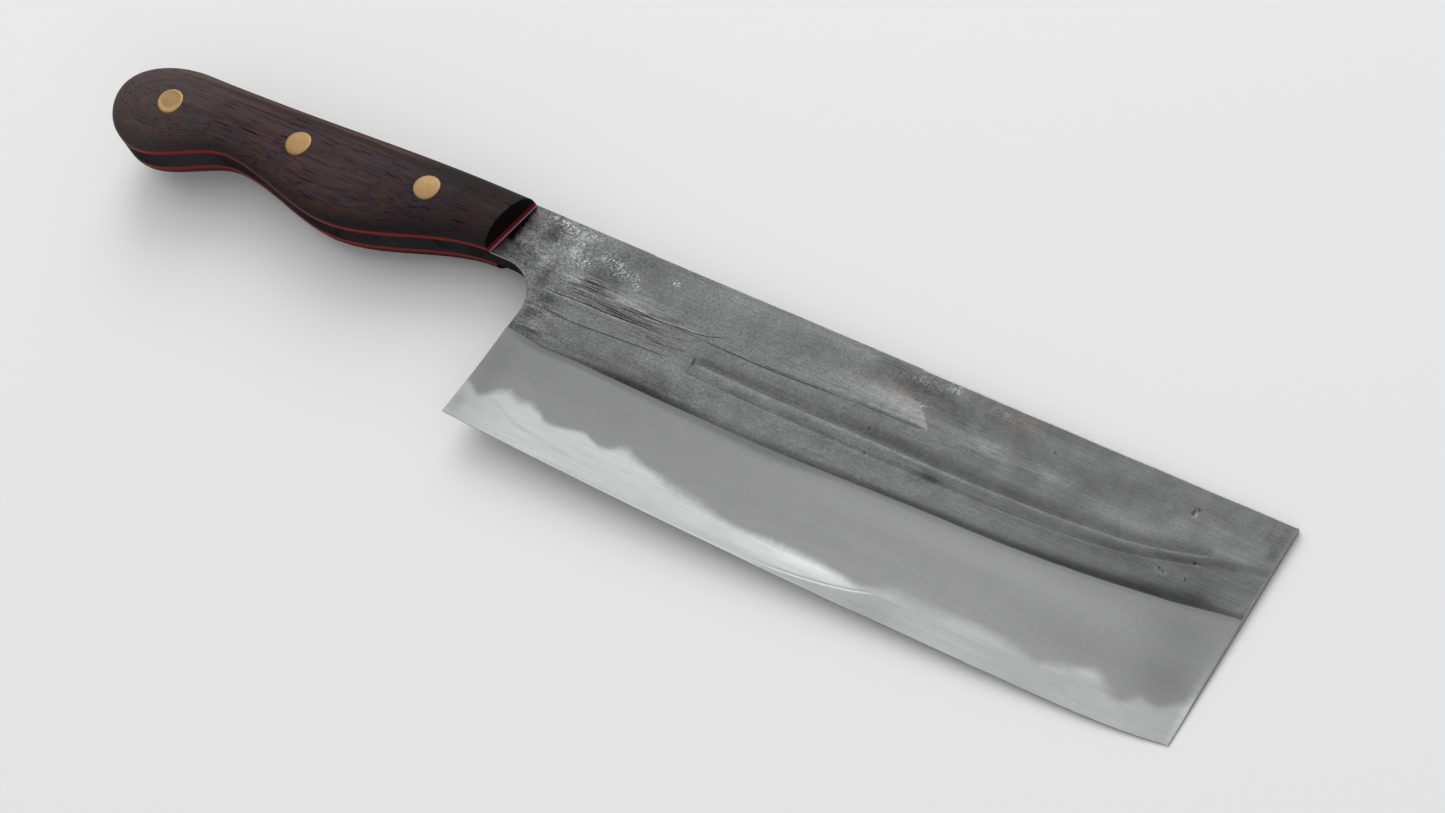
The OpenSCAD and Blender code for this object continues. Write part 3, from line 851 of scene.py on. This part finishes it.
def scrape_marks_and_shading(f, n):
    """The scraped lines of the forged skin, and the painted shade and highlights of its steps, as
    one factor round 1.
    """
    upper, middle, lower = f.painted("scrapes")
    heel, echo, neck = f.painted("lines")
    broken = f.fade(n.wisps, 0.36, 0.56, 0.35, 1)
    sweep = f.product(f.fade(n.along, 28, 38), f.fade(n.along, 54.5, 52))
    marks = f.product(f.line(upper, f.calc("MULTIPLY", broken, 0.65)),
                      f.line(echo, 0.4, 0.04),
                      f.line(heel, f.calc("MULTIPLY", broken, 0.6)),
                      f.line(neck, f.calc("MULTIPLY", sweep, 0.6), 0.05, 0.16),
                      # the two scraped steps, with painted shade and highlights
                      f.step(middle, 0.3, 4.2, 0.3, 1.2), f.step(lower, 0.28, 1.5, 0.12, 0.6))
    uneven = f.wavering(neck, n.streaks, 0.6)
    for offset, climb, start, end, depth in NECK_LINES:
        slope = climb / 20
        height = f.calc("MULTIPLY_ADD", n.along, slope, offset - 30 * slope)
        there = f.product(f.fade(n.along, start, start + 4), f.fade(n.along, end, end - 6),
                          broken)
        away = f.calc("SUBTRACT", uneven, height)
        marks = f.product(marks, f.line(away, f.calc("MULTIPLY", there, depth), 0.04, 0.18))
    return marks


def frost(f, n, frosted):
    """Painted glints: small bright rings on the coarse scale where the skin is frosted."""
    near, chance = f.cells(n.at, 1.25)
    ringlets = f.product(f.around(f.calc("SUBTRACT", near, 0.3), 0.03, 0.14),
                         f.fade(chance, 0.3, 0.5))
    wandering = f.calc("SUBTRACT", f.noise(n.at, 0.9, 1, 0.4), 0.5)
    ring = f.calc("MAXIMUM", ringlets, f.around(wandering, 0.02, 0.04))
    return f.product(frosted, ring, f.fade(n.grain, 0.3, 0.55))


def forged_skin(f, n, tone, speck):
    """How bright the forged skin is."""
    streaky, mottled, coarse = f.painted("textures")
    skin = f.product(f.varied(n.clouds, 0.6, 1.8, mottled),
                     f.varied(n.blotches, 0.6, 1.4, mottled),
                     f.varied(n.grain, 0, 1.1, coarse), f.swing(n.hairs, 0.3),
                     f.calc("MAXIMUM", f.varied(n.streaks, 0.15, 2.9, streaky), 0.3),
                     f.calc("MAXIMUM", f.varied(n.scratches, 0.1, 3.4, streaky), 0.3),
                     scrape_marks_and_shading(f, n), tone, 0.128)
    # The painted glints of the coarse scale are added on top.
    return f.calc("ADD", skin, f.calc("MULTIPLY", speck, 0.35))


def ground_steel(f, n, bare, glow, tone, arc):
    """How bright the satin bevel and the bare strip are."""
    satin = f.product(f.swing(n.clouds, 0.05), f.swing(n.hairs, 0.08), f.swing(n.grain, 0.12),
                      0.2)
    bright = f.product(f.swing(n.hairs, 0.1), f.swing(n.fine, 0.1), f.swing(n.clouds, 0.06),
                       f.swing(n.wisps, 0.14), f.swing(n.grain, 0.06), glow, 0.385)
    # Painted highlight and shade lines along the crease of the facet above the edge.
    arc_light_span = f.product(f.fade(n.along, 82, 92), f.fade(n.along, 111, 106))
    for middle, soft, light in ((0, 0.18, 0.13), (0.4, 0.2, -0.12)):
        rim = f.around(f.calc("SUBTRACT", arc, middle), 0.06, soft)
        bright = f.calc("ADD", bright, f.product(arc_light_span, rim, light))
    return f.calc("MULTIPLY", f.mix(bare, satin, bright), tone)


def worked_steel():
    """Forged skin above the bevel, a satin ground bevel, and the bright bare core steel."""
    f = Finish("worked_steel", Metallic=1.0)
    n = steel_noises(f)
    grind, cloud_edge, glow = f.painted("heights")
    skin_painted, ground_painted, arc = f.painted("tones")
    stained, frosted, _ = f.painted("spots")
    forged = f.fade(f.wavering(grind, n.clouds, 0.3), -0.2, 0.12)
    edge = f.wavering(f.wavering(cloud_edge, n.blotches, 0.6), n.wisps, 0.3)
    bare = f.fade(edge, 0.62, -0.62)
    speck = frost(f, n, frosted)
    value = f.mix(forged, ground_steel(f, n, bare, glow, ground_painted, arc),
                  forged_skin(f, n, skin_painted, speck))
    # Beside the handle the skin is dark and glossy, as if oiled.
    oiled = f.fade(f.calc("MULTIPLY_ADD", n.blotches, 3, n.along), 1.1, 3, 0.25, 1)
    oiled = f.calc("MAXIMUM", oiled, f.fade(n.above, -7.2, -10.6))
    rough = f.calc("MULTIPLY", oiled, f.fade(n.blotches, 0.3, 0.7, 0.4, 0.54))
    f.set(Base_Color=f.tint(f.product(stained, forged, 0.5), grey(f, value, -0.006),
                            grey(f, value, 0.12)),
          Roughness=f.mix(forged, f.mix(bare, 0.42, 0.4), rough))
    f.bump((f.product(n.grain, forged), 0.02), (f.product(n.blotches, forged), 0.03),
           (f.product(n.fine, f.calc("SUBTRACT", 1, forged)), 0.002),
           (f.product(speck, forged), 0.05))
    return f.material


def rim_steel(name, darkened):
    """Ground steel of the spine, the tip and the eased edges; where darkened, painted dark
    reflection and shade at the tang.
    """
    f = Finish(name, Metallic=1.0)
    at = f.places()
    hairs = f.noise(f.places((12, 12, 0.16)), 1, 3, 0.6)
    clouds = f.noise(at, 4, 3, 0.6)
    texture = f.product(f.swing(hairs, 0.14), f.swing(clouds, 0.14))
    plain = 0.32
    if darkened:
        # Near black at the tang, the throat and the start of the spine: painted dark reflection
        # and shade, partly forge scale.
        along, above, _ = f.parts(at)
        throat = f.product(f.fade(above, -8, -11), f.fade(along, 13, 10))
        dark = f.calc("MAXIMUM", f.fade(along, 28, -8), throat)
        plain = f.mix(dark, 0.32, 0.05)
        f.set(Specular_Tint=f.tint(dark, (1, 1, 1, 1), (0.3, 0.3, 0.3, 1)))
    f.set(Base_Color=grey(f, f.product(texture, plain)),
          Roughness=f.fade(clouds, 0.3, 0.7, 0.4, 0.52))
    f.bump((hairs, 0.004))
    return f.material


def rosewood():
    """Dark rosewood: fine growth lines, open pores, painted shade on the belly side and the spine
    side's flank, and black at the front: end grain with painted shade.
    """
    f = Finish("rosewood", Specular_IOR_Level=0.06)
    along, across, up = f.parts(f.places())
    level = f.calc("ABSOLUTE", up)

    def grown(stretch, detail, rough, distortion=0):
        where = f.places(stretch, (0, 0.012, 0.03))
        return f.noise(where, 1, detail, rough, distortion)

    mottle = f.noise(f.places((12, 3, 3)), 1, 3, 0.6)
    broad = grown((50, 2.4, 0.8), 3, 0.6, 0.4)
    lines = grown((45, 1.6, 0.26), 3, 0.65, 0.2)
    fibres = grown((12, 0.36, 0.3), 2, 0.6)
    height = f.wavering(level, broad, 1.6)
    spine_side = f.fade(across, -6.4, -4.6)
    streak = f.product(f.around(f.calc("SUBTRACT", height, 7.2), 0.22, 0.4), spine_side,
                       f.fade(along, -14, -30), f.fade(lines, 0.36, 0.56))
    # Painted shade on the spine side's flank: a band beside the red streak, and the lower flank
    # near the front.
    under_streak_shade = f.product(f.around(f.calc("SUBTRACT", height, 8), 0.15, 0.5), spine_side)
    front_flank_shade = f.product(spine_side, f.fade(height, 8.2, 7), f.fade(along, -34, -16))
    # Painted shade along the belly side of the handle.
    belly = f.product(f.fade(level, 8.4, 4.2), f.fade(across, -9, -12.5))
    long_pores = f.product(f.pores((30, 1, 1), 0.07), f.fade(along, -40, -60))
    short_pores = f.product(f.pores((9, 0.52, 0.52), 0.14), f.fade(along, -84, -58, 0.3, 0.9))
    tiny_pores = f.product(f.pores((3, 0.36, 0.36), 0.12), 0.5)
    pore = f.calc("MAXIMUM", f.calc("MAXIMUM", short_pores, long_pores), tiny_pores)
    colour = f.tint(f.fade(mottle, 0.4, 0.6), (0.064, 0.038, 0.039, 1),
                    (0.048, 0.038, 0.043, 1))
    for where, share, tone in (
            # red and black growth lines, and broad dark bands
            (f.fade(lines, 0.5, 0.62), 0.34, (0.12, 0.045, 0.033)),
            (f.fade(lines, 0.48, 0.36), 0.4, (0.02, 0.01, 0.01)),
            (f.fade(broad, 0.52, 0.68), 0.45, (0.02, 0.0105, 0.012)),
            (streak, 0.55, (0.2, 0.055, 0.022)),
            # painted shade on the spine side's flank
            (under_streak_shade, 0.6, (0.014, 0.009, 0.01)),
            (front_flank_shade, 0.85, (0.012, 0.009, 0.01)),
            # painted shade along the belly side
            (belly, 0.9, (0.008, 0.003, 0.002)),
            (f.fade(fibres, 0.45, 0.62), 0.5, (0.024, 0.012, 0.012)),
            # paler towards the butt, darker towards the front
            (f.fade(along, -60, -92), 0.25, (0.11, 0.095, 0.096)),
            (f.fade(along, -42, -8), 0.66, (0.016, 0.013, 0.014)),
            (pore, 0.92, (0.009, 0.0015, 0.002))):
        colour = f.tint(f.calc("MULTIPLY", where, share), colour, (*tone, 1))
    # Black on the face that looks ahead: dark end grain, deepened with painted shade.
    ahead = f.parts(f.add("TexCoord", out="Normal"))[0]
    end = f.fade(ahead, 0.75, 0.93)
    f.set(Base_Color=f.tint(end, colour, (0.004, 0.003, 0.003, 1)),
          Roughness=f.mix(end, f.fade(fibres, 0.3, 0.8, 0.5, 0.64), 0.5))
    f.bump((f.calc("MULTIPLY", pore, -1), 0.08), (fibres, 0.012), (lines, 0.008))
    return f.material


def red_fibre():
    """Vulcanised fibre, dyed red and sanded."""
    f = Finish("red_fibre", Roughness=0.55, Specular_IOR_Level=0.12)
    specks = f.noise(f.places((3, 3, 0.4)), 0.5, 3, 0.6)
    f.set(Base_Color=f.tint(specks, (0.15, 0.001, 0.003, 1), (0.3, 0.003, 0.006, 1)))
    f.bump((specks, 0.01))
    return f.material


def brass(name, hollow=None):
    """Brass sanded flush with the wood, along the handle; a given hollow gets painted shade, with
    a lighter ring round it.
    """
    f = Finish(name, Metallic=1.0)
    hairs = f.noise(f.places((5, 0.16, 5)), 1, 3, 0.6)
    grain = f.noise(f.places(), 0.35, 2, 0.7)
    clouds = f.noise(f.places(), 2, 2)
    shade = f.product(f.swing(hairs, 0.15), f.swing(grain, 0.25), f.swing(clouds, 0.15))
    # Painted shade in the dished hollow, and a lighter ring round it.
    if hollow:
        away = f.add("VectorMath", {0: f.places((1, 1, 1000), origin=hollow)}, "Value",
                     operation="LENGTH")
        shade = f.product(shade, f.fade(away, 1.9, 2.3, 0.9, 1.15))
    f.set(Base_Color=f.tint(1, grey(f, shade), (0.3, 0.19, 0.088, 1), "MULTIPLY"),
          Roughness=f.fade(grain, 0.3, 0.7, 0.42, 0.56))
    f.bump((hairs, 0.008), (grain, 0.008))
    return f.material


# ---- the pieces ----

STEEL = [worked_steel(), rim_steel("ground_rim", False), rim_steel("tang_rim", True)]
blade_layer("blade_core", "core_steel", (EDGE_EASE, EDGE_EASE), STEEL)
blade_layer("blade_cladding_right", "cladding_right", (SPINE_EASE, SIDE_EASE), STEEL)
blade_layer("blade_cladding_left", "cladding_left", (SPINE_EASE, SIDE_EASE), STEEL)
WOOD, FIBRE, BRASS = rosewood(), red_fibre(), brass("pin_brass")
REAR = sum(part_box("pin_rear"), Vector()) / 2
DISH_SHADED_BRASS = brass("brass_dish_shade", REAR + Vector((*DISH_SHADE_SPOT, 0)) * MM)
for side in SIDES:
    scale(side, WOOD)
    liner(side, FIBRE)
pin("pin_front", BRASS, 0)
pin("pin_middle", BRASS, 0)
pin("pin_rear", DISH_SHADED_BRASS, DISH)


# ---- floor, lights and camera ----

def floor():
    """A pale floor on which the knife lies: on the tip's two corners and the left scale."""

    def corners(node, reach=FAR / MM):
        return [v.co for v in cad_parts[node].data.vertices
                if v.co.x > TIP - reach * MM]

    high = min(corners("cladding_left", 0.5), key=lambda co: (round(co.z, 5), -co.y))
    low = min(corners("core_steel", 1.5), key=lambda co: (round(co.y, 5), co.z))
    roll = (high.z - low.z) / (high.y - low.y)
    pitch = max((co.z - high.z - roll * (co.y - high.y)) / (co.x - high.x)
                for co in corners("scale_left"))
    bm = bmesh.new()
    bmesh.ops.create_grid(bm, x_segments=8, y_segments=8, size=4)
    for v in bm.verts:
        v.co.z = high.z + pitch * (v.co.x - high.x) + roll * (v.co.y - high.y) - 0.1 * MM
    obj = solid("floor", bm)
    pale = Finish("pale_floor", Roughness=0.8, Base_Color=(0.8, 0.8, 0.8, 1))
    obj.data.materials.append(pale.material)


def softbox(name, direction, distance, size, radiance):
    """A large soft lamp that shines on the knife from a direction."""
    lamp = bpy.data.lights.new(name, "AREA")
    lamp.shape = "RECTANGLE"
    lamp.size, lamp.size_y = size
    lamp.energy = radiance * math.pi * lamp.size * lamp.size_y
    obj = added(name, lamp)
    towards = Vector(direction).normalized()
    obj.location = towards * distance
    obj.rotation_euler = towards.to_track_quat("Z", "Y").to_euler()


def camera():
    """Looks down on the knife from ahead of its tip, on the side of the edge."""
    data = bpy.data.cameras.new("camera")
    data.sensor_width = 36
    data.lens = 99.65
    obj = added("camera", data)
    azimuth, elevation, roll = (math.radians(a) for a in (57.61, 57.39, -29.41))
    target, distance = Vector((0.02359, 0.00203, 0)), 0.78628
    back = Vector((math.sin(azimuth) * math.cos(elevation),
                   -math.cos(azimuth) * math.cos(elevation), math.sin(elevation)))
    level = Vector((0, 0, 1)).cross(back).normalized()
    right = math.cos(roll) * level + math.sin(roll) * back.cross(level)
    view = Matrix((right, back.cross(right), back)).transposed().to_4x4()
    view.translation = target + back * distance
    obj.matrix_world = view
    bpy.context.scene.camera = obj


floor()
world = bpy.data.worlds.new("studio")
world.use_nodes = True
glow = world.node_tree.nodes["Background"].inputs
glow["Color"].default_value = (1, 1, 1, 1)
glow["Strength"].default_value = 0.5
bpy.context.scene.world = world
softbox("overhead", (-0.455, 0.289, 0.842), 2.2, (2.4, 2.4), 1.1)
softbox("key", (-0.3, 0.75, 0.6), 1.6, (1, 1), 2.6)
softbox("fill", (0.7, -0.5, 0.6), 1.8, (1.2, 1.2), 0.8)
camera()
bpy.context.scene.view_settings.view_transform = "Standard"
